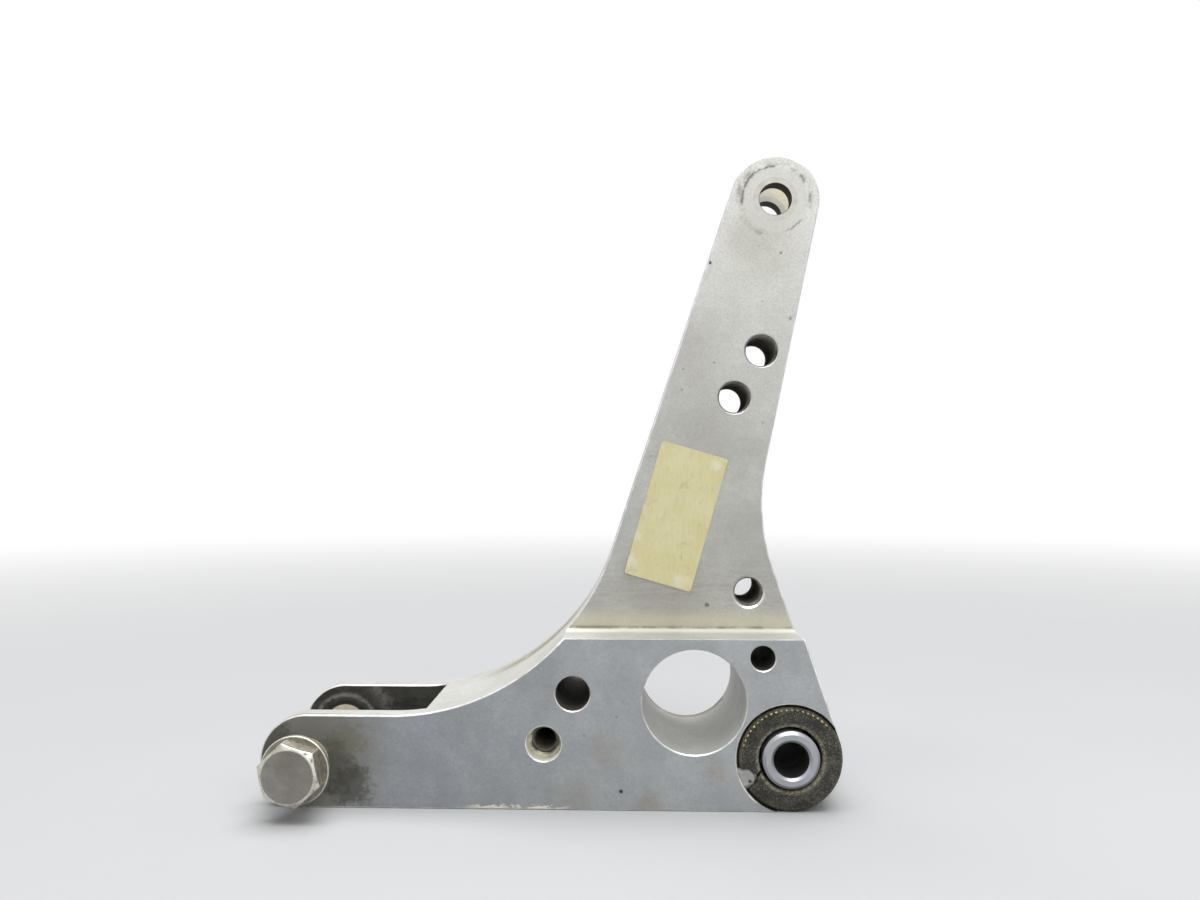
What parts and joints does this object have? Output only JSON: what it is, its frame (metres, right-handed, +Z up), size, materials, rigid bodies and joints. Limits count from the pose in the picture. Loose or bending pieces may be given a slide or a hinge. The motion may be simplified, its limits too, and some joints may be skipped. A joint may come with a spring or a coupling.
{
  "type": "aircraft bellcrank",
  "caption": "Machined light-alloy control bellcrank with forked arms at right angles, a ball-bearing pivot, a lightening hole and a loosely fitted fork bolt.",
  "frame": {"origin": "centre of the pivot bore, at the middle of the lower arm's depth", "axes": "+Y along the pivot bore from the labelled face to the back, +Z up the long arm, -X along the lower fork"},
  "size_m": [0.101, 0.0464, 0.1172],
  "materials": {
    "lever_alloy": "matte machined, lightly soiled",
    "bush_steel": "turned",
    "bolt_steel": "dull plated, worn",
    "bearing_steel": "ground",
    "cage_brass": "plain",
    "dust_ring": "grimy, worn matte",
    "label_paper": "aged, slightly glossy"
  },
  "bodies": {
    "lever": {"lever_body": "lever_alloy", "upper_front_bush": "bush_steel", "upper_rear_bush": "bush_steel", "lower_front_bush": "bush_steel", "lower_rear_bush": "bush_steel", "front_cover_ring": "dust_ring", "front_outer_ring": "bearing_steel", "rear_cover_ring": "dust_ring", "rear_outer_ring": "bearing_steel", "blank_label": "label_paper"},
    "pivot_core": {"front_inner_ring": "bearing_steel", "rear_inner_ring": "bearing_steel", "centre_spacer": "bearing_steel"},
    "front_ball_set": {"front_balls": "bearing_steel", "front_cage": "cage_brass"},
    "rear_ball_set": {"rear_balls": "bearing_steel", "rear_cage": "cage_brass"},
    "washers": {"head_washer": "bolt_steel", "nut_washer": "bolt_steel"},
    "bolt_set": {"clevis_bolt": "bolt_steel", "castle_nut": "bolt_steel", "cotter_pin": "bolt_steel"}
  },
  "joints": [
    {"name": "pivot_turn", "type": "hinge", "parent": "lever", "child": "pivot_core", "pos_m": [0, 0, 0], "axis": [0, 1, 0], "continuous": true},
    {"name": "front_balls_roll", "type": "hinge", "parent": "lever", "child": "front_ball_set", "pos_m": [0, -0.0103, 0], "axis": [0, 1, 0], "continuous": true},
    {"name": "rear_balls_roll", "type": "hinge", "parent": "lever", "child": "rear_ball_set", "pos_m": [0, 0.0103, 0], "axis": [0, 1, 0], "continuous": true},
    {"name": "bolt_slide", "type": "slide", "parent": "lever", "child": "washers", "axis": [0, 1, 0], "range_m": [0, 0.0046]},
    {"name": "bolt_turn", "type": "hinge", "parent": "washers", "child": "bolt_set", "pos_m": [-0.084, 0, -0.001], "axis": [0, 1, 0], "continuous": true}
  ],
  "couplings": [
    {"joint": "front_balls_roll", "follows": "pivot_turn", "ratio": 0.41227},
    {"joint": "rear_balls_roll", "follows": "pivot_turn", "ratio": 0.41227}
  ]
}
